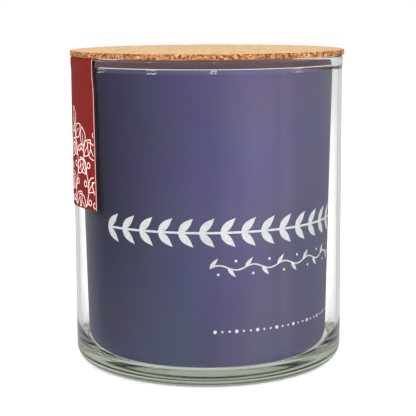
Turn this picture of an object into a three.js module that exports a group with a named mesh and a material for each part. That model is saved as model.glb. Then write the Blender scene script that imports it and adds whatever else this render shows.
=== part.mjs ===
// Bulb-growing kit: a clear glass jar with a cork lid, a printed card sleeve inside the glass, a paper tag
// folded over the rim, and a dry bulb standing on a pressed disc of growing medium.
// Millimetres, +Z up. The origin is on the jar's axis, on the surface that it stands on.
// The front faces -Y and the paper tag hangs on the -X side.

import * as THREE from 'three';

// Glass jar
const jarRadius = 56.9;
const jarHeight = 129.4;
const wallThickness = 1.7;
const baseThickness = 7.6;
const baseCornerRadius = 7.0;
const floorFilletWidth = 3.2;
const floorFilletHeight = 10.0;
const pushUpRadius = 38.0;
const pushUpHeight = 1.8;
const rimBeadOut = 0.2;
const rimBeadIn = 0.3;
const rimCornerRadius = 0.9;
const rimBeadStart = 5.4;
const rimBeadFull = 3.0;
const roundSegments = 72;

// Cork lid
const lidRadius = 57.9;
const lidThickness = 2.3;
const lidEdgeRadius = 0.6;

// Paper tag
const paperThickness = 0.3;
const paperStandOff = 0.2;
const tagWidth = 64.0;
const tagCentreAngle = THREE.MathUtils.degToRad(4.5);
const tagSkew = THREE.MathUtils.degToRad(1.4);
const tagBottom = 67.8;
const tagTuckEnd = 126.2;
const tagCurl = 0.7;
const tagCurlHeight = 123.4;
const tagCurlSpread = 4.0;

// Card sleeve
const cardThickness = 0.45;
const sleeveBottomRadius = 50.3;
const sleeveTopRadius = 53.0;
const sleeveTop = 126.0;
const sleeveOffset = -0.6;
const sleeveForward = 1.5;
const sleeveSeamWidth = 12.0;

// Pressed disc of growing medium
const discRadius = 46.0;
const discThickness = 14.0;
const discEdgeRadius = 2.0;

// Bulb
const bulbHeight = 60.0;
const bulbRadius = 24.0;
const basalPlateRadius = 10.5;
const bulbLean = 3.0;
const bulbLobes = 0.035;

const restGap = 0.3;
const innerRadius = jarRadius - wallThickness;
const rimOuterRadius = jarRadius + rimBeadOut;
const rimInnerRadius = innerRadius - rimBeadIn;
const lidUnderside = jarHeight + paperThickness;

// Points along a circular arc in the radius and height plane, from one angle to another.
function arc(centreRadius, centreHeight, radius, fromDegrees, toDegrees, steps) {
  const points = [];
  for (let i = 0; i <= steps; i += 1) {
    const angle = THREE.MathUtils.degToRad(fromDegrees + ((toDegrees - fromDegrees) * i) / steps);
    points.push([centreRadius + radius * Math.cos(angle), centreHeight + radius * Math.sin(angle)]);
  }
  return points;
}

// Smooth step from one radius to another between two heights.
function ease(fromRadius, toRadius, fromHeight, toHeight, steps) {
  const points = [];
  for (let i = 0; i <= steps; i += 1) {
    const share = i / steps;
    const blend = (1 - Math.cos(Math.PI * share)) / 2;
    points.push([
      fromRadius + (toRadius - fromRadius) * blend,
      fromHeight + (toHeight - fromHeight) * share,
    ]);
  }
  return points;
}

// A solid of revolution about Z. The profile runs from the axis at the bottom, outwards and up.
function turned(profile, segments) {
  const points = profile.map(([radius, height]) => new THREE.Vector2(radius, height));
  return new THREE.LatheGeometry(points, segments).rotateX(Math.PI / 2);
}

// A closed sheet between two grids of points: outside(column, row) and inside(column, row).
// A ring joins its last column to its first.
function sheetSolid({ columns, rows, ring, outside, inside }) {
  const columnPoints = ring ? columns : columns + 1;
  const positions = [];
  for (const surface of [outside, inside]) {
    for (let column = 0; column < columnPoints; column += 1) {
      for (let row = 0; row <= rows; row += 1) {
        positions.push(...surface(column / columns, row));
      }
    }
  }
  const layer = columnPoints * (rows + 1);
  const at = (side, column, row) => side * layer + (column % columnPoints) * (rows + 1) + row;
  const triangles = [];
  const quad = (a, b, c, d) => triangles.push(a, b, c, a, c, d);
  for (let column = 0; column < columns; column += 1) {
    for (let row = 0; row < rows; row += 1) {
      quad(at(0, column, row), at(0, column + 1, row), at(0, column + 1, row + 1), at(0, column, row + 1));
      quad(at(1, column, row), at(1, column, row + 1), at(1, column + 1, row + 1), at(1, column + 1, row));
    }
    quad(at(0, column, 0), at(1, column, 0), at(1, column + 1, 0), at(0, column + 1, 0));
    quad(at(0, column, rows), at(0, column + 1, rows), at(1, column + 1, rows), at(1, column, rows));
  }
  if (!ring) {
    for (let row = 0; row < rows; row += 1) {
      quad(at(0, 0, row), at(0, 0, row + 1), at(1, 0, row + 1), at(1, 0, row));
      quad(at(0, columns, row), at(1, columns, row), at(1, columns, row + 1), at(0, columns, row + 1));
    }
  }
  const geometry = new THREE.BufferGeometry();
  geometry.setAttribute('position', new THREE.Float32BufferAttribute(positions, 3));
  geometry.setIndex(triangles);
  return geometry;
}

// Thick base with a shallow push-up, so that the jar stands on a flat ring, then the wall and the rim.
// Inside, the wall thickens towards the floor in a tall narrow fillet, a quarter of an ellipse.
function glassJar() {
  const contactRadius = jarRadius - baseCornerRadius;
  const beadStart = jarHeight - rimBeadStart;
  const beadFull = jarHeight - rimBeadFull;
  const rimCornerHeight = jarHeight - rimCornerRadius;
  const profile = [];
  const domeSteps = 5;
  for (let i = 0; i <= domeSteps; i += 1) {
    const radius = (pushUpRadius * i) / domeSteps;
    profile.push([radius, pushUpHeight * (1 - (radius / pushUpRadius) ** 2)]);
  }
  profile.push(...arc(contactRadius, baseCornerRadius, baseCornerRadius, -90, 0, 8));
  profile.push(...ease(jarRadius, rimOuterRadius, beadStart, beadFull, 3));
  profile.push(...arc(rimOuterRadius - rimCornerRadius, rimCornerHeight, rimCornerRadius, 0, 90, 4));
  profile.push(...arc(rimInnerRadius + rimCornerRadius, rimCornerHeight, rimCornerRadius, 90, 180, 4));
  profile.push(...ease(rimInnerRadius, innerRadius, beadFull, beadStart, 3));
  const filletCentre = innerRadius - floorFilletWidth;
  const filletTop = baseThickness + floorFilletHeight;
  for (const [across, up] of arc(0, 0, 1, 0, -90, 7)) {
    profile.push([filletCentre + floorFilletWidth * across, filletTop + floorFilletHeight * up]);
  }
  profile.push([0, baseThickness]);
  return turned(profile, roundSegments);
}

function corkLid() {
  const edge = lidRadius - lidEdgeRadius;
  const top = lidUnderside + lidThickness;
  return turned([
    [0, lidUnderside],
    ...arc(edge, lidUnderside + lidEdgeRadius, lidEdgeRadius, -90, 0, 3),
    ...arc(edge, top - lidEdgeRadius, lidEdgeRadius, 0, 90, 3),
    [0, top],
  ], roundSegments);
}

// The paper's section across the rim, as it lies on the glass: up from the tucked end, over the flat of
// the rim, round the bead and down to the wall. The extra thickness moves it to the paper's outer side.
function tagSection(extra) {
  const standOff = paperStandOff + extra;
  const cornerHeight = jarHeight - rimCornerRadius;
  const innerCorner = rimInnerRadius + rimCornerRadius - paperStandOff;
  const outerCorner = rimOuterRadius - rimCornerRadius + paperStandOff;
  const radius = rimCornerRadius + extra;
  return [
    [rimInnerRadius - standOff, tagTuckEnd],
    ...arc(innerCorner, cornerHeight, radius, 180, 90, 4),
    ...arc(outerCorner, cornerHeight, radius, 90, 0, 4),
    ...ease(rimOuterRadius + standOff, jarRadius + standOff, jarHeight - rimBeadFull,
      jarHeight - rimBeadStart, 3),
  ];
}

// The tag hangs a little askew, so its lower edge rises towards the front, and its sides draw in just
// under the rim, where the paper springs away from the fold.
function paperTag() {
  const hangingRows = 9;
  const fold = { inside: tagSection(0), outside: tagSection(paperThickness) };
  const foldRows = fold.inside.length - 1;
  const wallStart = jarHeight - rimBeadStart;
  const middleHeight = (jarHeight + tagBottom) / 2;
  const surface = (side) => (share, row) => {
    const across = (0.5 - share) * tagWidth;
    const hem = tagBottom + across * Math.tan(tagSkew);
    const last = fold[side][foldRows];
    const drop = Math.max(row - foldRows, 0) / hangingRows;
    const [radius, foldHeight] = row <= foldRows ? fold[side][row] : last;
    const height = row <= foldRows ? foldHeight : wallStart + (hem - wallStart) * drop;
    const curl = tagCurl * Math.exp(-(((height - tagCurlHeight) / tagCurlSpread) ** 2));
    const slide = (middleHeight - height) * Math.tan(tagSkew) - (2 * curl * across) / tagWidth;
    const angle = tagCentreAngle + (across + slide) / jarRadius;
    return [-radius * Math.cos(angle), -radius * Math.sin(angle), height];
  };
  return sheetSolid({
    columns: 16,
    rows: foldRows + hangingRows,
    ring: false,
    outside: surface('outside'),
    inside: surface('inside'),
  });
}

// The card is rolled to a slight taper and glued along a lapped seam at the back. Its foot stands
// forward of its top, close to the front of the glass.
function cardSleeve() {
  const columns = 96;
  const rows = 1;
  const bottom = baseThickness + restGap;
  const seamAngle = sleeveSeamWidth / sleeveTopRadius;
  const point = (radiusAt) => (share, row) => {
    const angle = Math.PI / 2 + share * 2 * Math.PI;
    const taper = row / rows;
    const radius = radiusAt(share) + sleeveBottomRadius + (sleeveTopRadius - sleeveBottomRadius) * taper;
    return [
      sleeveOffset + radius * Math.cos(angle),
      radius * Math.sin(angle) - sleeveForward * (1 - taper),
      bottom + (sleeveTop - bottom) * taper,
    ];
  };
  const lapped = (share) => share * 2 * Math.PI < seamAngle;
  return sheetSolid({
    columns,
    rows,
    ring: true,
    outside: point((share) => (lapped(share) ? 2 * cardThickness : cardThickness)),
    inside: point(() => 0),
  });
}

function coirDisc() {
  const edge = discRadius - discEdgeRadius;
  const top = baseThickness + discThickness;
  return turned([
    [0, baseThickness],
    ...arc(edge, baseThickness + discEdgeRadius, discEdgeRadius, -90, 0, 3),
    ...arc(edge, top - discEdgeRadius, discEdgeRadius, 0, 90, 3),
    [0, top],
  ], 48);
}

// A flat basal plate, a full body with faint lobes, and a dry neck that leans a little.
function narcissusBulb() {
  const stand = baseThickness + discThickness;
  const bodyHeight = bulbHeight * 0.72;
  const neckRadius = bulbRadius * 0.24;
  const outline = new THREE.SplineCurve([
    new THREE.Vector2(basalPlateRadius, 0),
    new THREE.Vector2(bulbRadius * 0.74, bulbHeight * 0.09),
    new THREE.Vector2(bulbRadius, bulbHeight * 0.33),
    new THREE.Vector2(bulbRadius * 0.76, bulbHeight * 0.58),
    new THREE.Vector2(bulbRadius * 0.36, bodyHeight),
    new THREE.Vector2(neckRadius, bulbHeight * 0.86),
    new THREE.Vector2(neckRadius * 0.8, bulbHeight),
  ]);
  const profile = outline.getPoints(18).map((point) => [point.x, point.y]);
  const geometry = turned([[0, 0], ...profile, [0, bulbHeight]], 36);
  const position = geometry.getAttribute('position');
  for (let i = 0; i < position.count; i += 1) {
    const angle = Math.atan2(position.getY(i), position.getX(i));
    const share = position.getZ(i) / bulbHeight;
    const swell = 1 + bulbLobes * Math.sin(Math.PI * share) * Math.cos(3 * angle + 1);
    position.setXYZ(
      i,
      position.getX(i) * swell + bulbLean * share ** 3,
      position.getY(i) * swell,
      position.getZ(i) + stand,
    );
  }
  return geometry;
}

function piece(name, geometry, colour, roughness, extra = {}) {
  const material = new THREE.MeshStandardMaterial({ color: colour, roughness, metalness: 0, ...extra });
  const mesh = new THREE.Mesh(geometry, material);
  mesh.name = name;
  return mesh;
}

const kit = new THREE.Group();
kit.add(
  piece('glass_jar', glassJar(), 0xe4ece8, 0.05, { transparent: true, opacity: 0.35 }),
  piece('cork_lid', corkLid(), 0xd9b183, 0.9),
  piece('card_sleeve', cardSleeve(), 0x54527a, 0.5),
  piece('paper_tag', paperTag(), 0x8a312e, 0.6),
  piece('coir_disc', coirDisc(), 0x5a4030, 1.0),
  piece('narcissus_bulb', narcissusBulb(), 0x8a6138, 0.7),
);

export default kit;
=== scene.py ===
# Looks of a bulb-growing kit: a clear glass jar with a cork lid, a printed card sleeve, a paper tag,
# and a dry bulb on pressed growing medium. Metres, +Z up. The front faces -Y and the tag hangs at -X.

import math
import random

import bpy
from mathutils import Matrix, Vector, noise


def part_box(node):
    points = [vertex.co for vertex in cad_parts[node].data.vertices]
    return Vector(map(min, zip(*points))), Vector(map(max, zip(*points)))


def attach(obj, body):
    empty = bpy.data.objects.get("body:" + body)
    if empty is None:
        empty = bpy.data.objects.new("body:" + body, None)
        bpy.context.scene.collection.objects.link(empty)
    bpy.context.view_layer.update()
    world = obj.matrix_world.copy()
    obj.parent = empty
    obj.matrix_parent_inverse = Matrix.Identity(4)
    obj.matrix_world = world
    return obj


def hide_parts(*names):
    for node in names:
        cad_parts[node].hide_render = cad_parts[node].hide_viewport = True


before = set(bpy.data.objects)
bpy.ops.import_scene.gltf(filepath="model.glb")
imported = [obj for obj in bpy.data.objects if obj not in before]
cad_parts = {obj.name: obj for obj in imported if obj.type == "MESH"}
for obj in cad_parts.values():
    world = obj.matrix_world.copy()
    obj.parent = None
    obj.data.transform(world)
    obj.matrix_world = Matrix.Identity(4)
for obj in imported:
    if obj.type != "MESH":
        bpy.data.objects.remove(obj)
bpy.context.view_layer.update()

MM = 0.001
FULL_TURN = 2 * math.pi

# Sizes read from the frame
jar_low, jar_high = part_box("glass_jar")
lid_low, lid_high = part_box("cork_lid")
sleeve_low, sleeve_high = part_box("card_sleeve")
tag_low, tag_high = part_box("paper_tag")
coir_low, coir_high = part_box("coir_disc")
bulb_low, bulb_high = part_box("narcissus_bulb")

jar_height = jar_high.z
rim_outer_radius = jar_high.x
lid_radius = lid_high.x
base_thickness = coir_low.z

# Sizes of the solids that a box doesn't give
rim_bead_out = 0.2 * MM
rim_bead_in = 0.3 * MM
rim_corner_radius = 0.9 * MM
rim_bead_start = jar_height - 5.4 * MM
rim_bead_full = jar_height - 3.0 * MM
wall_thickness = 1.7 * MM
base_corner_radius = 7.0 * MM
floor_fillet_width = 3.2 * MM
floor_fillet_height = 10.0 * MM
push_up_radius = 38.0 * MM
push_up_height = 1.8 * MM
foot_rows = 18
foot_roughness = 0.08
jar_radius = rim_outer_radius - rim_bead_out
inner_radius = jar_radius - wall_thickness
rim_inner_radius = inner_radius - rim_bead_in

card_thickness = 0.45 * MM
sleeve_bottom_radius = 50.3 * MM
sleeve_top_radius = 53.0 * MM
sleeve_offset = -0.6 * MM
sleeve_forward = 1.5 * MM
sleeve_seam_width = 12.0 * MM

paper_thickness = 0.3 * MM
paper_stand_off = 0.2 * MM
tag_width = 64.0 * MM
tag_centre_angle = math.radians(4.5)
tag_skew = math.radians(1.4)
tag_bottom = 67.8 * MM
tag_tuck_end = 126.2 * MM
tag_curl = 0.7 * MM
tag_curl_height = 123.4 * MM
tag_curl_spread = 4.0 * MM


# Camera
def set_camera():
    """The photograph's view: a long lens in front, a little above the jar, looking slightly down."""
    focal_pixels = 1283.7
    frame_pixels = 416
    data = bpy.data.cameras.new("camera")
    data.sensor_width = 36.0
    data.lens = data.sensor_width * focal_pixels / frame_pixels
    data.shift_y = -0.08
    camera = bpy.data.objects.new("camera", data)
    camera.location = (-12.26 * MM, -545.0 * MM, 151.6 * MM)
    turn = Matrix.Rotation(-0.0227, 4, "Z")
    tilt = Matrix.Rotation(math.pi / 2 - 0.1337, 4, "X")
    roll = Matrix.Rotation(-0.0051, 4, "Z")
    camera.rotation_euler = (turn @ tilt @ roll).to_euler()
    bpy.context.collection.objects.link(camera)
    bpy.context.scene.camera = camera


# Colours and nodes
def linear(red, green, blue):
    """A display colour, 0 to 255, as the linear colour that a shader takes."""
    def channel(value):
        share = value / 255
        return share / 12.92 if share <= 0.04045 else ((share + 0.055) / 1.055) ** 2.4
    return channel(red), channel(green), channel(blue), 1.0


def new_material(name, colour, roughness):
    material = bpy.data.materials.new(name)
    material.use_nodes = True
    shader = material.node_tree.nodes["Principled BSDF"]
    shader.inputs["Base Color"].default_value = colour
    shader.inputs["Roughness"].default_value = roughness
    return material, material.node_tree, shader


def node(tree, kind, **inputs):
    """A node of this kind, with its sockets set by name, with _ for a space."""
    made = tree.nodes.new(kind)
    for name, value in inputs.items():
        made.inputs[name.replace("_", " ")].default_value = value
    return made


def place(tree, scale=(1, 1, 1)):
    """Object coordinates, stretched by a scale, as an output socket."""
    coordinates = tree.nodes.new("ShaderNodeTexCoord")
    mapping = node(tree, "ShaderNodeMapping", Scale=scale)
    tree.links.new(coordinates.outputs["Object"], mapping.inputs["Vector"])
    return mapping.outputs["Vector"]


def noise_texture(tree, where, scale, detail=3.0, roughness=0.5, distortion=0.0):
    texture = node(tree, "ShaderNodeTexNoise", Scale=scale, Detail=detail, Roughness=roughness,
                   Distortion=distortion)
    tree.links.new(where, texture.inputs["Vector"])
    return texture.outputs["Fac"]


def cells(tree, where, scale):
    """A random colour for each cell, as an output socket."""
    texture = node(tree, "ShaderNodeTexVoronoi", Scale=scale)
    tree.links.new(where, texture.inputs["Vector"])
    return texture.outputs["Color"]


def ramp(tree, factor, stops):
    """A colour ramp: stops are pairs of place and colour."""
    made = tree.nodes.new("ShaderNodeValToRGB")
    elements = made.color_ramp.elements
    while len(elements) < len(stops):
        elements.new(0.5)
    for element, (position, colour) in zip(elements, stops):
        element.position = position
        element.color = colour
    tree.links.new(factor, made.inputs["Fac"])
    return made.outputs["Color"]


def mix(tree, factor, first, second, blend="MIX"):
    """Two colours mixed. The factor and either colour can be a socket or a value."""
    made = tree.nodes.new("ShaderNodeMix")
    made.data_type = "RGBA"
    made.blend_type = blend
    for name, value in (("Factor", factor), ("A", first), ("B", second)):
        socket = next(s for s in made.inputs if s.name == name and s.enabled)
        if isinstance(value, bpy.types.NodeSocket):
            tree.links.new(value, socket)
        else:
            socket.default_value = value
    return next(s for s in made.outputs if s.enabled)


def grey(value):
    return value, value, value, 1.0


def calculate(tree, operation, first, second=0.0, third=0.0):
    made = tree.nodes.new("ShaderNodeMath")
    made.operation = operation
    for socket, value in zip(made.inputs, (first, second, third)):
        if isinstance(value, bpy.types.NodeSocket):
            tree.links.new(value, socket)
        else:
            socket.default_value = value
    return made.outputs["Value"]


def bump(tree, shader, height, strength, distance):
    made = node(tree, "ShaderNodeBump", Strength=strength, Distance=distance)
    tree.links.new(height, made.inputs["Height"])
    tree.links.new(made.outputs["Normal"], shader.inputs["Normal"])


# Materials
def glass_material(name, roughness):
    """Clear soda glass, a little green where it is thick. Lamps shine through it."""
    material, tree, shader = new_material(name, (1, 1, 1, 1), roughness)
    shader.inputs["Transmission Weight"].default_value = 1.0
    shader.inputs["IOR"].default_value = 1.5
    clear = node(tree, "ShaderNodeBsdfTransparent", Color=(0.93, 0.95, 0.94, 1))
    path = tree.nodes.new("ShaderNodeLightPath")
    blend = tree.nodes.new("ShaderNodeMixShader")
    output = tree.nodes["Material Output"]
    tree.links.new(path.outputs["Is Shadow Ray"], blend.inputs["Fac"])
    tree.links.new(shader.outputs["BSDF"], blend.inputs[1])
    tree.links.new(clear.outputs["BSDF"], blend.inputs[2])
    tree.links.new(blend.outputs["Shader"], output.inputs["Surface"])
    depth = node(tree, "ShaderNodeVolumeAbsorption", Color=(0.47, 0.54, 0.40, 1), Density=14.5)
    tree.links.new(depth.outputs["Volume"], output.inputs["Volume"])
    return material


def cork_material(name, shades, speck, speck_share, relief):
    """Pressed cork: granules in a few shades, from dark to pale, with specks of bark between them."""
    material, tree, shader = new_material(name, shades[1], 0.85)
    shader.inputs["Specular IOR Level"].default_value = 0.2
    where = place(tree)
    wobble = node(tree, "ShaderNodeTexNoise", Scale=900.0, Detail=2.0)
    bent = tree.nodes.new("ShaderNodeVectorMath")
    bent.operation = "MULTIPLY_ADD"
    bent.inputs[1].default_value = (0.9 * MM, 0.9 * MM, 0.9 * MM)
    tree.links.new(where, wobble.inputs["Vector"])
    tree.links.new(wobble.outputs["Color"], bent.inputs[0])
    tree.links.new(where, bent.inputs[2])
    split = tree.nodes.new("ShaderNodeSeparateColor")
    tree.links.new(cells(tree, bent.outputs["Vector"], 640.0), split.inputs["Color"])
    dark, middle, pale = shades
    granules = ramp(tree, split.outputs["Red"], [(0.0, dark), (0.25, middle), (0.75, middle), (1.0, pale)])
    fine = noise_texture(tree, where, 1700.0, 4.0, 0.7)
    body = mix(tree, 0.35, granules, ramp(tree, fine, [(0.35, dark), (0.5, middle), (0.65, pale)]))
    bark = noise_texture(tree, where, 1000.0, 2.0, 0.6, 0.4)
    edge = 0.72 - 0.2 * speck_share
    colour = mix(tree, ramp(tree, bark, [(edge, grey(0.0)), (edge + 0.06, grey(0.9))]), body, speck)
    tree.links.new(colour, shader.inputs["Base Color"])
    bump(tree, shader, fine, relief, 0.3 * MM)
    return material


def print_and_shade_material():
    """Printed card: the card's own violet ink with painted shade across its round side. It is darkened to
    navy at the left, lightest right of the middle, and dimmed to a greyer plum at the right edge, where less
    light falls. Soft blotches lie over it, with a flatter, greyer tone towards the foot."""
    shaded_navy, violet, shaded_plum = linear(48, 45, 70), linear(106, 101, 140), linear(98, 90, 116)
    foot_tone = linear(86, 88, 114)
    material, tree, shader = new_material("sleeve_print_and_shade", violet, 0.6)
    shader.inputs["Specular IOR Level"].default_value = 0.2
    where = place(tree)
    parts = tree.nodes.new("ShaderNodeSeparateXYZ")
    tree.links.new(where, parts.inputs[0])
    across = calculate(tree, "MULTIPLY_ADD", parts.outputs["X"], 0.5 / sleeve_top_radius, 0.5)
    # The ramp across the card is painted shade: navy where the left side turns from the light, plum at the
    # right edge.
    ink_with_painted_shade = ramp(tree, across, [(0.08, shaded_navy), (0.66, violet), (1.0, shaded_plum)])
    low = calculate(tree, "MULTIPLY_ADD", parts.outputs["Z"], -1 / (60 * MM), 1.17)
    flatter = ramp(tree, low, [(0.0, grey(0.0)), (1.0, grey(0.6))])
    blotches = node(tree, "ShaderNodeTexNoise", Scale=28.0, Detail=2.0)
    tree.links.new(where, blotches.inputs["Vector"])
    colour = mix(tree, flatter, ink_with_painted_shade, foot_tone)
    colour = mix(tree, 0.3, colour, blotches.outputs["Color"], "SOFT_LIGHT")
    tree.links.new(colour, shader.inputs["Base Color"])
    return material


def paper_material(name, colour, roughness=0.8, strength=0.15):
    """Plain paper or ink on paper, with a fine tooth and faint fibres."""
    material, tree, shader = new_material(name, colour, roughness)
    shader.inputs["Specular IOR Level"].default_value = 0.2
    where = place(tree)
    fibres = noise_texture(tree, where, 900.0, 4.0, 0.6)
    darker = tuple(0.82 * channel for channel in colour[:3]) + (1.0,)
    tree.links.new(ramp(tree, fibres, [(0.3, darker), (0.65, colour)]), shader.inputs["Base Color"])
    bump(tree, shader, fibres, strength, 0.1 * MM)
    return material


def coir_material():
    """Pressed coconut fibre: short brown fibres and darker pith."""
    material, tree, shader = new_material("medium_coir", linear(92, 62, 40), 1.0)
    fibres = noise_texture(tree, place(tree, (1, 1, 0.25)), 900.0, 5.0, 0.7, 1.5)
    colour = ramp(tree, fibres, [
        (0.30, linear(46, 30, 20)),
        (0.50, linear(92, 62, 40)),
        (0.68, linear(150, 110, 70)),
    ])
    tree.links.new(colour, shader.inputs["Base Color"])
    bump(tree, shader, fibres, 0.6, 0.6 * MM)
    return material


def tunic_material():
    """The bulb's dry skin: brown paper with fine veins from base to neck."""
    material, tree, shader = new_material("bulb_tunic", linear(142, 96, 56), 0.55)
    veins = noise_texture(tree, place(tree, (1, 1, 0.06)), 700.0, 3.0, 0.6, 0.3)
    blotches = noise_texture(tree, place(tree), 90.0, 4.0, 0.6)
    skin = ramp(tree, veins, [(0.35, linear(92, 56, 30)), (0.62, linear(166, 118, 72))])
    aged = ramp(tree, blotches, [(0.40, linear(110, 68, 38)), (0.65, linear(186, 142, 92))])
    tree.links.new(mix(tree, 0.45, skin, aged), shader.inputs["Base Color"])
    bump(tree, shader, veins, 0.5, 0.4 * MM)
    return material


# Meshes
def new_piece(name, vertices, faces, materials, slots=None, sharp=40.0):
    mesh = bpy.data.meshes.new(name)
    mesh.from_pydata(vertices, [], faces)
    for material in materials:
        mesh.materials.append(material)
    if slots:
        mesh.polygons.foreach_set("material_index", slots)
    mesh.shade_smooth()
    mesh.set_sharp_from_angle(angle=math.radians(sharp))
    mesh.update()
    piece = bpy.data.objects.new(name, mesh)
    bpy.context.collection.objects.link(piece)
    return piece


def settle(piece, slot, *replaced):
    """Every piece rides on the one body, and stands for its CAD node."""
    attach(piece, "root")
    if replaced:
        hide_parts(*replaced)
    return piece


def arc(centre_radius, centre_height, radius, start, stop, steps):
    """Points of a circular arc in the radius and height plane, from one angle in degrees to another."""
    points = []
    for step in range(steps + 1):
        angle = math.radians(start + (stop - start) * step / steps)
        points.append((centre_radius + radius * math.cos(angle), centre_height + radius * math.sin(angle)))
    return points


def ease(start_radius, stop_radius, start_height, stop_height, steps):
    """Points of a smooth step from one radius to another between two heights."""
    points = []
    for step in range(steps + 1):
        share = step / steps
        blend = (1 - math.cos(math.pi * share)) / 2
        points.append((start_radius + (stop_radius - start_radius) * blend,
                       start_height + (stop_height - start_height) * share))
    return points


def straight(start, stop, steps):
    """Points between two points of a profile, both ends left out."""
    return [(start[0] + (stop[0] - start[0]) * step / steps, start[1] + (stop[1] - start[1]) * step / steps)
            for step in range(1, steps)]


def turned(name, profile, segments, materials, slot_of=None, shape=None, sharp=40.0):
    """A solid of revolution. The profile starts and ends on the axis. shape moves each point, and slot_of
    gives the material of each band of the profile."""
    vertices, faces, slots = [], [], []
    last = len(profile) - 1
    for row, (radius, height) in enumerate(profile):
        for column in range(1 if row in (0, last) else segments):
            angle = FULL_TURN * column / segments
            point = Vector((radius * math.cos(angle), radius * math.sin(angle), height))
            vertices.append(shape(point, row) if shape else point)

    def at(row, column):
        if row == 0:
            return 0
        if row == last:
            return len(vertices) - 1
        return 1 + (row - 1) * segments + column % segments

    for row in range(last):
        for column in range(segments):
            corners = [at(row, column), at(row, column + 1), at(row + 1, column + 1), at(row + 1, column)]
            faces.append(tuple(dict.fromkeys(corners)))
            slots.append(slot_of(row) if slot_of else 0)
    return new_piece(name, vertices, faces, materials, slots, sharp)


def sheet(name, columns, rows, ring, outside, inside, materials, sharp=40.0):
    """A closed sheet between two surfaces. The materials are for its outside, inside and cut edges."""
    column_points = columns if ring else columns + 1
    vertices, faces, slots = [], [], []
    for surface in (outside, inside):
        for column in range(column_points):
            for row in range(rows + 1):
                vertices.append(surface(column / columns, row))
    layer = column_points * (rows + 1)

    def at(side, column, row):
        return side * layer + (column % column_points) * (rows + 1) + row

    def face(slot, *corners):
        faces.append(corners)
        slots.append(slot)

    for column in range(columns):
        after = column + 1
        for row in range(rows):
            face(0, at(0, column, row), at(0, after, row), at(0, after, row + 1), at(0, column, row + 1))
            face(1, at(1, column, row), at(1, column, row + 1), at(1, after, row + 1), at(1, after, row))
        face(2, at(0, column, 0), at(1, column, 0), at(1, after, 0), at(0, after, 0))
        face(2, at(0, column, rows), at(0, after, rows), at(1, after, rows), at(1, column, rows))
    if not ring:
        for row in range(rows):
            face(2, at(0, 0, row), at(0, 0, row + 1), at(1, 0, row + 1), at(1, 0, row))
            face(2, at(0, columns, row), at(1, columns, row),
                 at(1, columns, row + 1), at(0, columns, row + 1))
    return new_piece(name, vertices, faces, materials, slots, sharp)


class Ink:
    """White shapes printed on a surface, as thin closed strips. A strip is a list of (along, up, half
    width), and surface(along, up, lift) gives its place."""

    def __init__(self, surface, sunk, proud):
        self.surface = surface
        self.sunk = sunk
        self.proud = proud
        self.vertices = []
        self.faces = []

    def strip(self, points, across=1):
        start = len(self.vertices)
        count = across + 1
        for index, (along, up, half) in enumerate(points):
            before = points[max(index - 1, 0)]
            after = points[min(index + 1, len(points) - 1)]
            heading = Vector((after[0] - before[0], after[1] - before[1])).normalized()
            for lift in (self.proud, self.sunk):
                for step in range(count):
                    side = half * (1 - 2 * step / across)
                    self.vertices.append(self.surface(along - heading.y * side, up + heading.x * side, lift))
        row = 2 * count

        def at(index, layer, step):
            return start + index * row + layer * count + step

        for index in range(len(points) - 1):
            for step in range(across):
                self.faces.append((at(index, 0, step), at(index, 0, step + 1),
                                   at(index + 1, 0, step + 1), at(index + 1, 0, step)))
                self.faces.append((at(index, 1, step), at(index + 1, 1, step),
                                   at(index + 1, 1, step + 1), at(index, 1, step + 1)))
            for step, turn in ((0, 1), (across, -1)):
                corners = (at(index, 0, step), at(index + 1, 0, step),
                           at(index + 1, 1, step), at(index, 1, step))
                self.faces.append(corners[::turn])
        for index, turn in ((0, -1), (len(points) - 1, 1)):
            for step in range(across):
                corners = (at(index, 0, step), at(index, 0, step + 1),
                           at(index, 1, step + 1), at(index, 1, step))
                self.faces.append(corners[::turn])

    def piece(self, name, material):
        return new_piece(name, self.vertices, self.faces, [material])


# Glass jar
def glass_profile():
    """The CAD jar's section with finer arcs: push-up, standing ring, corner, wall, rim, wall, floor."""
    contact_radius = jar_radius - base_corner_radius
    corner_height = jar_height - rim_corner_radius
    fillet_centre = inner_radius - floor_fillet_width
    fillet_height = base_thickness + floor_fillet_height
    points = []
    dome_steps = 14
    for step in range(dome_steps + 1):
        radius = push_up_radius * step / dome_steps
        points.append((radius, push_up_height * (1 - (radius / push_up_radius) ** 2)))
    points += straight((push_up_radius, 0), (contact_radius, 0), 3)
    points += arc(contact_radius, base_corner_radius, base_corner_radius, -90, 0, 20)
    points += straight((jar_radius, base_corner_radius), (jar_radius, rim_bead_start), 24)
    points += ease(jar_radius, rim_outer_radius, rim_bead_start, rim_bead_full, 8)
    points += arc(rim_outer_radius - rim_corner_radius, corner_height, rim_corner_radius, 0, 90, 10)
    points += arc(rim_inner_radius + rim_corner_radius, corner_height, rim_corner_radius, 90, 180, 10)
    points += ease(rim_inner_radius, inner_radius, rim_bead_full, rim_bead_start, 8)
    points += straight((inner_radius, rim_bead_start), (inner_radius, fillet_height), 24)
    points += [(fillet_centre + floor_fillet_width * across, fillet_height + floor_fillet_height * up)
               for across, up in arc(0, 0, 1, 0, -90, 16)]
    points += straight((fillet_centre, base_thickness), (0, base_thickness), 10)
    points.append((0, base_thickness))
    return points


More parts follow.
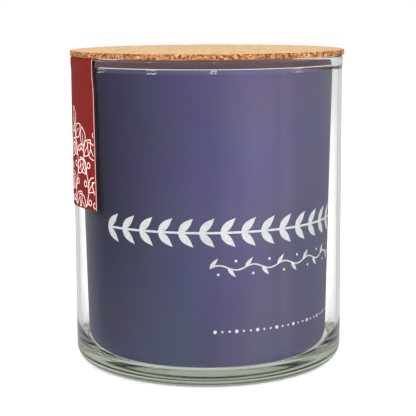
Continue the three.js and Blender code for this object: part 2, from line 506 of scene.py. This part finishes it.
def glass_jar():
    """The inside of the glass is very slightly uneven, and the underside is a little worn."""
    def uneven(point, row):
        radius = math.hypot(point.x, point.y)
        inside = radius < inner_radius + 0.1 * MM and point.z > base_thickness - 0.1 * MM
        if not inside or point.z > rim_bead_start:
            return point
        ripple = 0.05 * MM * noise.noise(Vector((point.x * 30, point.y * 30, point.z * 22)))
        if point.z < base_thickness + 0.01 * MM:
            return point + Vector((0, 0, ripple))
        return Vector((point.x * (1 + ripple / radius), point.y * (1 + ripple / radius), point.z))
    glass = [glass_material("jar_glass", 0.0), glass_material("jar_glass_worn_foot", foot_roughness)]
    piece = turned("jar_glass_body", glass_profile(), 224, glass, shape=uneven, sharp=80.0,
                   slot_of=lambda row: 1 if row < foot_rows else 0)
    return settle(piece, "jar_glass", "glass_jar")


# Cork lid
def cork_lid():
    """A sanded disc with softened edges, pitted where granules fell out, and rough round its side."""
    edge_radius = 0.6 * MM
    edge = lid_radius - edge_radius
    profile = [(0, lid_low.z)]
    profile += straight((0, lid_low.z), (edge, lid_low.z), 30)
    profile += arc(edge, lid_low.z + edge_radius, edge_radius, -90, 0, 4)
    side_start = len(profile) - 4
    profile += straight((lid_radius, lid_low.z + edge_radius), (lid_radius, lid_high.z - edge_radius), 4)
    profile += arc(edge, lid_high.z - edge_radius, edge_radius, 0, 90, 4)
    side_stop = len(profile) - 2
    profile += straight((edge, lid_high.z), (0, lid_high.z), 70)
    profile.append((0, lid_high.z))
    depth = 0.32 * MM

    def worn(point, row):
        radius = math.hypot(point.x, point.y)
        if radius == 0:
            return point
        grain = noise.noise(point * 620) + 0.6 * noise.noise(point * 1300)
        if side_start <= row <= side_stop:
            cut = depth * min(max(0.35 + 0.6 * grain, 0), 1)
            inward = 1 - cut / radius
            return Vector((point.x * inward, point.y * inward, point.z))
        pit = 0.12 * MM * max(grain - 0.55, 0)
        return point + Vector((0, 0, -pit if row > side_stop else pit))

    # The side's shades are darker than the top's. This is partly the orange-brown of the cut granules and
    # partly painted shade for the side, which gets less light than the top.
    top = cork_material("cork_sanded", [linear(130, 94, 58), linear(172, 143, 106), linear(202, 177, 140)],
                        linear(108, 70, 38), 0.45, 0.25)
    side = cork_material("cork_cut_edge_and_shade", [linear(90, 44, 18), linear(146, 94, 52), linear(196, 146, 92)],
                         linear(64, 30, 12), 1.1, 0.8)
    piece = turned("cork_lid_disc", profile, 640, [top, side],
                   slot_of=lambda row: 1 if side_start <= row < side_stop else 0, shape=worn, sharp=60.0)
    return settle(piece, "lid_cork", "cork_lid")


# Card sleeve
def sleeve_radius(height):
    """The radius of the card's inner face at a height, before its waves."""
    share = (height - sleeve_low.z) / (sleeve_high.z - sleeve_low.z)
    return sleeve_bottom_radius + (sleeve_top_radius - sleeve_bottom_radius) * share


def sleeve_wave(angle, height):
    """How far the card stands in from its true round, at an angle from +X."""
    return 0.22 * MM * (0.5 + 0.5 * math.sin(9 * angle + 14 * height + 1.3 * math.sin(4 * angle)))


def sleeve_point(angle, height, lift):
    """A place on the card. Its foot stands forward of its top."""
    radius = sleeve_radius(height) - sleeve_wave(angle, height) + lift
    forward = sleeve_forward * (sleeve_high.z - height) / (sleeve_high.z - sleeve_low.z)
    return Vector((sleeve_offset + radius * math.cos(angle), radius * math.sin(angle) - forward, height))


def card_sleeve():
    rows = 40
    columns = 360
    seam_angle = sleeve_seam_width / sleeve_top_radius

    def surface(lift_at):
        def point(share, row):
            height = sleeve_low.z + (sleeve_high.z - sleeve_low.z) * row / rows
            return sleeve_point(math.pi / 2 + share * FULL_TURN, height, lift_at(share))
        return point

    def outer_lift(share):
        return 2 * card_thickness if share * FULL_TURN < seam_angle else card_thickness

    inside = paper_material("sleeve_inside", linear(196, 188, 200))
    edge = paper_material("sleeve_cut_edge", linear(226, 222, 224))
    piece = sheet("card_sleeve_roll", columns, rows, True, surface(outer_lift), surface(lambda share: 0.0),
                  [print_and_shade_material(), inside, edge], sharp=30.0)
    return settle(piece, "sleeve_card", "card_sleeve")


def leaf(ink, along, up, length, half_width, tilt, steps=10, across=4):
    """A plain filled leaf that starts at a point and leans by a tilt."""
    points = []
    for step in range(steps + 1):
        share = step / steps
        width = max(half_width * math.sin(math.pi * share ** 0.8), 0.06 * MM)
        points.append((along + length * share * math.cos(tilt), up + length * share * math.sin(tilt), width))
    ink.strip(points, across)


def dot(ink, along, up, radius, steps=8):
    """A filled round dot."""
    points = []
    for step in range(steps + 1):
        angle = math.pi * step / steps
        points.append((along - radius * math.cos(angle), up, max(radius * math.sin(angle), 0.04 * MM)))
    ink.strip(points, 4)


def sleeve_ornament():
    """Plain white sprigs in three rows on the card: a bold one, a light one and a dotted line."""
    def surface(along, up, lift):
        angle = along / sleeve_top_radius - math.pi / 2
        return sleeve_point(angle, up, card_thickness + lift)

    ink = Ink(surface, -0.05 * MM, 0.03 * MM)
    right_end = 72 * MM

    def row_of(start, pitch):
        return [start + pitch * step for step in range(int((right_end - start) / pitch) + 1)]

    def stem(start, height, half_width, swing, pitch):
        steps = int((right_end - start) / (1.0 * MM))
        points = []
        for step in range(steps + 1):
            along = start + (right_end - start) * step / steps
            points.append((along, height + swing * math.sin(FULL_TURN * (along - start) / pitch), half_width))
        ink.strip(points)

    bold_start, bold_height, bold_pitch = -46 * MM, 62.5 * MM, 8.4 * MM
    stem(bold_start, bold_height, 0.45 * MM, 0.0, bold_pitch)
    for along in row_of(bold_start, bold_pitch)[:-1]:
        leaf(ink, along, bold_height, 8.2 * MM, 1.55 * MM, math.radians(44))
        leaf(ink, along, bold_height, 8.2 * MM, 1.55 * MM, math.radians(-44))
    light_start, light_height, light_pitch = 0.0, 48.5 * MM, 7.2 * MM
    stem(light_start, light_height, 0.28 * MM, 1.0 * MM, 2 * light_pitch)
    for index, along in enumerate(row_of(light_start, light_pitch)):
        up = 1 if index % 2 == 0 else -1
        leaf(ink, along, light_height, 5.0 * MM, 0.8 * MM, math.radians(50 * up))
        dot(ink, along + 3.4 * MM, light_height - 2.6 * MM * up, 0.55 * MM)
    dotted_start, dotted_height, dotted_pitch = 2 * MM, 22.8 * MM, 3.0 * MM
    for index, along in enumerate(row_of(dotted_start, dotted_pitch)):
        dot(ink, along, dotted_height, (0.75 if index % 3 == 0 else 0.45) * MM)
    piece = ink.piece("sleeve_ornament", paper_material("sleeve_white_ink", linear(248, 247, 250), 0.6))
    return settle(piece, "sleeve_card")


# Paper tag
def tag_section(extra):
    """The paper's section across the rim, from the tucked end over the rim and down to the wall."""
    stand_off = paper_stand_off + extra
    corner_height = jar_height - rim_corner_radius
    inner_corner = rim_inner_radius + rim_corner_radius - paper_stand_off
    outer_corner = rim_outer_radius - rim_corner_radius + paper_stand_off
    radius = rim_corner_radius + extra
    points = [(rim_inner_radius - stand_off, tag_tuck_end)]
    points += arc(inner_corner, corner_height, radius, 180, 90, 8)
    points += arc(outer_corner, corner_height, radius, 90, 0, 8)
    points += ease(rim_outer_radius + stand_off, jar_radius + stand_off, rim_bead_full, rim_bead_start, 8)
    return points


def tag_angle(across, height):
    """The angle from -X towards the front of a point on the tag, which hangs a little askew."""
    middle_height = (jar_height + tag_bottom) / 2
    curl = tag_curl * math.exp(-(((height - tag_curl_height) / tag_curl_spread) ** 2))
    slide = (middle_height - height) * math.tan(tag_skew) - 2 * curl * across / tag_width
    return tag_centre_angle + (across + slide) / jar_radius


def tag_lift(across, height):
    """How far the paper stands off its straight hang: faint waves, more towards the lower corners."""
    drop = min(max((rim_bead_start - height) / (rim_bead_start - tag_bottom), 0), 1)
    side = (2 * across / tag_width) ** 2
    return 0.16 * MM * drop * side + 0.05 * MM * drop * math.sin(across * 140 + height * 90)


def tag_point(across, height, radius):
    angle = tag_angle(across, height)
    return Vector((-radius * math.cos(angle), -radius * math.sin(angle), height))


def paper_tag():
    hanging_rows = 48
    columns = 64
    fold = {"inside": tag_section(0.0), "outside": tag_section(paper_thickness)}
    fold_rows = len(fold["inside"]) - 1

    def surface(side):
        def point(share, row):
            across = (0.5 - share) * tag_width
            radius, height = fold[side][min(row, fold_rows)]
            if row > fold_rows:
                hem = tag_bottom + across * math.tan(tag_skew)
                height = rim_bead_start + (hem - rim_bead_start) * (row - fold_rows) / hanging_rows
                radius += tag_lift(across, height)
            return tag_point(across, height, radius)
        return point

    red = paper_material("tag_red", linear(98, 12, 8), 0.85, 0.1)
    edge = paper_material("tag_cut_edge", linear(222, 170, 164))
    piece = sheet("paper_tag_folded", columns, fold_rows + hanging_rows, False, surface("outside"),
                  surface("inside"), [red, red, edge], sharp=35.0)
    return settle(piece, "tag_paper", "paper_tag")


def tag_drawing():
    """Pale line drawing on the lower part of the tag: climbing vines of outlined leaves and berries."""
    outer_radius = jar_radius + paper_stand_off + paper_thickness
    half_line = 0.17 * MM
    margin = 0.4 * MM
    draw = random.Random(11)

    def surface(along, up, lift):
        return tag_point(along, up, outer_radius + tag_lift(along, up) + lift)

    ink = Ink(surface, -0.03 * MM, 0.03 * MM)

    def on_tag(point):
        hem = tag_bottom + point[0] * math.tan(tag_skew)
        return abs(point[0]) < tag_width / 2 - margin and point[1] > hem + margin

    def line(points, half=half_line):
        """Draws the stretches of a line that lie on the tag."""
        run = []
        for point in [*points, None]:
            if point is not None and on_tag(point):
                run.append((point[0], point[1], half))
                continue
            if len(run) > 1:
                ink.strip(run)
            run = []

    def bow(start, stop, bulge, steps=12):
        """A line that bows sideways between two points."""
        along, up = stop[0] - start[0], stop[1] - start[1]
        return [(start[0] + along * t - up * bulge * math.sin(math.pi * t),
                 start[1] + up * t + along * bulge * math.sin(math.pi * t))
                for t in (step / steps for step in range(steps + 1))]

    def outlined_leaf(foot, length, tilt, width=0.30):
        tip = (foot[0] + length * math.cos(tilt), foot[1] + length * math.sin(tilt))
        line(bow(foot, tip, width))
        line(bow(foot, tip, -width))
        vein = (foot[0] + 0.66 * (tip[0] - foot[0]), foot[1] + 0.66 * (tip[1] - foot[1]))
        line(bow(foot, vein, 0.05), 0.13 * MM)

    def berry(foot, tilt):
        stalk, radius = 2.2 * MM, 1.15 * MM
        end = (foot[0] + stalk * math.cos(tilt), foot[1] + stalk * math.sin(tilt))
        centre = (end[0] + radius * math.cos(tilt), end[1] + radius * math.sin(tilt))
        line([foot, end], 0.13 * MM)
        line([(centre[0] + radius * math.cos(FULL_TURN * step / 14),
               centre[1] + radius * math.sin(FULL_TURN * step / 14)) for step in range(15)])

    vine_pitch, swing, wave, leaf_step = 10.5 * MM, 2.0 * MM, 27.0 * MM, 7.2 * MM
    for vine in range(-3, 4):
        middle = (vine + 0.35) * vine_pitch
        start = tag_bottom - 3 * MM
        top = start + (30 + 8 * (vine % 2) + draw.uniform(-2, 2)) * MM
        phase = draw.uniform(0, FULL_TURN)

        def stem(up):
            return middle + swing * math.sin(FULL_TURN * up / wave + phase), up

        steps = 40
        line([stem(start + (top - start) * step / steps) for step in range(steps + 1)])
        hand = 1 if vine % 2 else -1
        up = start + draw.uniform(1, 4) * MM
        while up < top - 3 * MM:
            tilt = math.pi / 2 - hand * math.radians(draw.uniform(42, 54))
            outlined_leaf(stem(up), draw.uniform(8.6, 10.4) * MM, tilt)
            berry(stem(up + 1.6 * MM), math.pi / 2 + hand * math.radians(draw.uniform(50, 66)))
            hand = -hand
            up += leaf_step
        outlined_leaf(stem(top), 8.5 * MM, math.pi / 2 - hand * math.radians(14))
    piece = ink.piece("tag_line_drawing", paper_material("tag_pale_ink", linear(236, 206, 198), 0.6))
    return settle(piece, "tag_paper")


# Growing medium and bulb
def coir_disc():
    """A pressed disc with a crumbly face."""
    foot = coir_low.z + 0.1 * MM
    radius = coir_high.x
    edge_radius = 2.0 * MM
    profile = [(0, foot)]
    profile += straight((0, foot), (radius - edge_radius, foot), 12)
    profile += arc(radius - edge_radius, foot + edge_radius, edge_radius, -90, 0, 5)
    profile += straight((radius, foot + edge_radius), (radius, coir_high.z - edge_radius), 8)
    profile += arc(radius - edge_radius, coir_high.z - edge_radius, edge_radius, 0, 90, 5)
    profile += straight((radius - edge_radius, coir_high.z), (0, coir_high.z), 30)
    profile.append((0, coir_high.z))

    def crumbled(point, row):
        centre = Vector((0, 0, (coir_low.z + coir_high.z) / 2))
        out = point - centre
        grain = noise.noise(point * 300) + 0.5 * noise.noise(point * 800)
        cut = 0.35 * MM * min(max(0.4 + grain, 0), 1)
        return point - out.normalized() * cut if out.length > 20 * MM and point.z > foot else point

    piece = turned("coir_disc_pressed", profile, 200, [coir_material()], shape=crumbled)
    return settle(piece, "medium_coir", "coir_disc")


def narcissus_bulb():
    """A dry bulb: flat basal plate, veined papery skin drawn up to a torn neck."""
    height = bulb_high.z - bulb_low.z
    radius = 24.0 * MM
    neck = 0.24 * radius
    outline = [(10.5 * MM, 0.0), (0.74 * radius, 0.09 * height), (radius, 0.33 * height),
               (0.76 * radius, 0.58 * height), (0.36 * radius, 0.72 * height), (neck, 0.86 * height),
               (0.8 * neck, height)]
    profile = [(0, 0)]
    steps = 10
    for index in range(len(outline) - 1):
        before, start = outline[max(index - 1, 0)], outline[index]
        stop, after = outline[index + 1], outline[min(index + 2, len(outline) - 1)]
        for step in range(steps):
            t = step / steps
            profile.append(tuple(
                0.5 * (2 * b + (c - a) * t + (2 * a - 5 * b + 4 * c - d) * t * t
                       + (3 * b - a - 3 * c + d) * t ** 3)
                for a, b, c, d in zip(before, start, stop, after)))
    profile.append(outline[-1])
    profile.append((0.4 * neck, height - 1.5 * MM))
    profile.append((0, height - 2.5 * MM))

    def grown(point, row):
        angle = math.atan2(point.y, point.x)
        share = point.z / height
        swell = 1 + 0.035 * math.sin(math.pi * share) * math.cos(3 * angle + 1)
        ridge = 0.10 * MM * abs(math.sin(22 * angle + 3 * noise.noise(point * 60)))
        tear = 1.2 * MM * abs(math.sin(7 * angle)) if share > 0.97 else 0
        around = math.hypot(point.x, point.y)
        inward = swell * (1 - ridge / around) if around > 0 and share > 0 else swell
        return Vector((point.x * inward + 3.0 * MM * share ** 3, point.y * inward,
                       bulb_low.z + point.z - tear))

    piece = turned("bulb_body", profile, 132, [tunic_material()], shape=grown, sharp=70.0)
    return settle(piece, "bulb_tunic", "narcissus_bulb")


# Floor, backdrop and light
fill_light = 0.55
# The room that reflections see: degrees to the right of the front, and brightness
room_greys = [
    (-180, 0.6), (-140, 0.6), (-120, 0.30), (-100, 0.10), (0, 0.07), (22, 0.10), (36, 0.30), (52, 0.32),
    (60, 0.16), (65, 0.36), (70, 0.34), (78, 0.16), (100, 0.18), (125, 0.26), (140, 0.6),
]


def was_reflected(tree, times=1):
    """1 on a path that has been mirrored at least so many times, and 0 on any other."""
    path = tree.nodes.new("ShaderNodeLightPath")
    return calculate(tree, "GREATER_THAN", path.outputs["Glossy Depth"], times - 0.5)


def set_floor():
    """A white floor, which mirror reflections look through, so that it doesn't veil the glass."""
    size = 4.0
    level = -0.1 * MM
    corners = [(-size, -size, level), (size, -size, level), (size, size, level), (-size, size, level)]
    material, tree, shader = new_material("floor_white", grey(0.88), 0.9)
    shader.inputs["Emission Color"].default_value = grey(1.0)
    shader.inputs["Emission Strength"].default_value = 0.2
    clear = tree.nodes.new("ShaderNodeBsdfTransparent")
    blend = tree.nodes.new("ShaderNodeMixShader")
    tree.links.new(was_reflected(tree), blend.inputs["Fac"])
    tree.links.new(shader.outputs["BSDF"], blend.inputs[1])
    tree.links.new(clear.outputs["BSDF"], blend.inputs[2])
    tree.links.new(blend.outputs["Shader"], tree.nodes["Material Output"].inputs["Surface"])
    new_piece("floor", corners, [(0, 1, 2, 3)], [material])


def softbox(name, place_at, aim, wide, high, power, mirrored):
    data = bpy.data.lights.new(name, "AREA")
    data.shape = "RECTANGLE"
    data.size = wide
    data.size_y = high
    data.energy = power
    lamp = bpy.data.objects.new(name, data)
    lamp.visible_glossy = mirrored
    lamp.visible_transmission = mirrored
    lamp.location = place_at
    lamp.rotation_euler = (Vector(aim) - Vector(place_at)).to_track_quat("-Z", "Y").to_euler()
    bpy.context.collection.objects.link(lamp)


def set_world():
    """A soft room with a white backdrop. Reflections see the room: dark in front, with dim windows at the
    right, and an even grey once they have been mirrored twice. Other surfaces get a brighter, even fill."""
    world = bpy.data.worlds.new("world")
    bpy.context.scene.world = world
    world.use_nodes = True
    tree = world.node_tree
    background = tree.nodes["Background"]
    coordinates = tree.nodes.new("ShaderNodeTexCoord")
    direction = tree.nodes.new("ShaderNodeSeparateXYZ")
    tree.links.new(coordinates.outputs["Generated"], direction.inputs[0])
    backward = calculate(tree, "MULTIPLY", direction.outputs["Y"], -1.0)
    angle = calculate(tree, "ARCTAN2", direction.outputs["X"], backward)
    turn = calculate(tree, "ADD", calculate(tree, "DIVIDE", angle, FULL_TURN), 0.5)

    stops = [(0.5 + degrees / 360, grey(value)) for degrees, value in room_greys]
    round_the_room = ramp(tree, turn, stops)
    overhead = ramp(tree, direction.outputs["Z"], [(0.15, grey(0.0)), (0.55, grey(1.0))])
    room = mix(tree, overhead, round_the_room, grey(1.05))
    path = tree.nodes.new("ShaderNodeLightPath")
    fill = mix(tree, 1.0, room, grey(fill_light), "LIGHTEN")
    room = mix(tree, path.outputs["Is Glossy Ray"], fill, mix(tree, was_reflected(tree, 2), room, grey(0.9)))
    refracted = calculate(tree, "SUBTRACT", path.outputs["Is Transmission Ray"], was_reflected(tree))
    backdrop = calculate(tree, "ADD", path.outputs["Is Camera Ray"], calculate(tree, "MAXIMUM", refracted))
    tree.links.new(mix(tree, backdrop, room, grey(1.0)), background.inputs["Color"])
    background.inputs["Strength"].default_value = 1.0


def window(name, azimuth, elevation, distance, wide, high, power, mirrored=True):
    """A soft window at an azimuth in degrees to the right of the front, facing the jar. Unless it is
    mirrored, the glass shows no image of it."""
    turn, rise = math.radians(azimuth), math.radians(elevation)
    place_at = (distance * math.cos(rise) * math.sin(turn), -distance * math.cos(rise) * math.cos(turn),
                jar_height / 2 + distance * math.sin(rise))
    softbox(name, place_at, (0, 0, jar_height / 2), wide, high, power, mirrored)


def glow_inside():
    """Light that comes through the thin printed card and fills the headspace with a mauve half-light."""
    data = bpy.data.lights.new("glow_inside", "POINT")
    data.energy = 0.020
    data.color = (1.0, 0.74, 0.74)
    data.shadow_soft_size = 0.012
    lamp = bpy.data.objects.new("glow_inside", data)
    lamp.location = (0, 0, 0.105)
    lamp.visible_transmission = False
    lamp.visible_glossy = False
    bpy.context.collection.objects.link(lamp)


def set_light():
    set_world()
    glow_inside()
    window("fill_left", -52, 22, 1.2, 0.60, 0.5, 10.0, mirrored=False)
    window("fill_front", 8, 22, 1.3, 0.34, 0.4, 7.0, mirrored=False)
    window("fill_right", 50, 24, 1.2, 0.70, 0.6, 12.0, mirrored=False)
    window("fill_back_left", -140, 30, 1.2, 0.60, 0.5, 4.0, mirrored=False)
    window("fill_back_right", 140, 30, 1.2, 0.60, 0.5, 4.0, mirrored=False)
    window("window_left", -50, 26, 1.2, 0.16, 0.3, 1.4)
    window("window_far_left", -108, 22, 1.2, 0.20, 0.3, 1.0)
    window("window_front", 4, 30, 1.3, 0.12, 0.3, 0.8)
    window("window_far_right", 84, 24, 1.2, 0.20, 0.4, 1.0)


def set_view():
    scene = bpy.context.scene
    scene.view_settings.view_transform = "Standard"
    scene.cycles.use_denoising = True
    scene.cycles.max_bounces = 24
    scene.cycles.transmission_bounces = 20
    scene.cycles.glossy_bounces = 8
    scene.cycles.diffuse_bounces = 4
    scene.cycles.transparent_max_bounces = 16
    scene.cycles.caustics_reflective = False
    scene.cycles.caustics_refractive = False


set_camera()
glass_jar()
cork_lid()
card_sleeve()
sleeve_ornament()
paper_tag()
tag_drawing()
coir_disc()
narcissus_bulb()
set_floor()
set_light()
set_view()
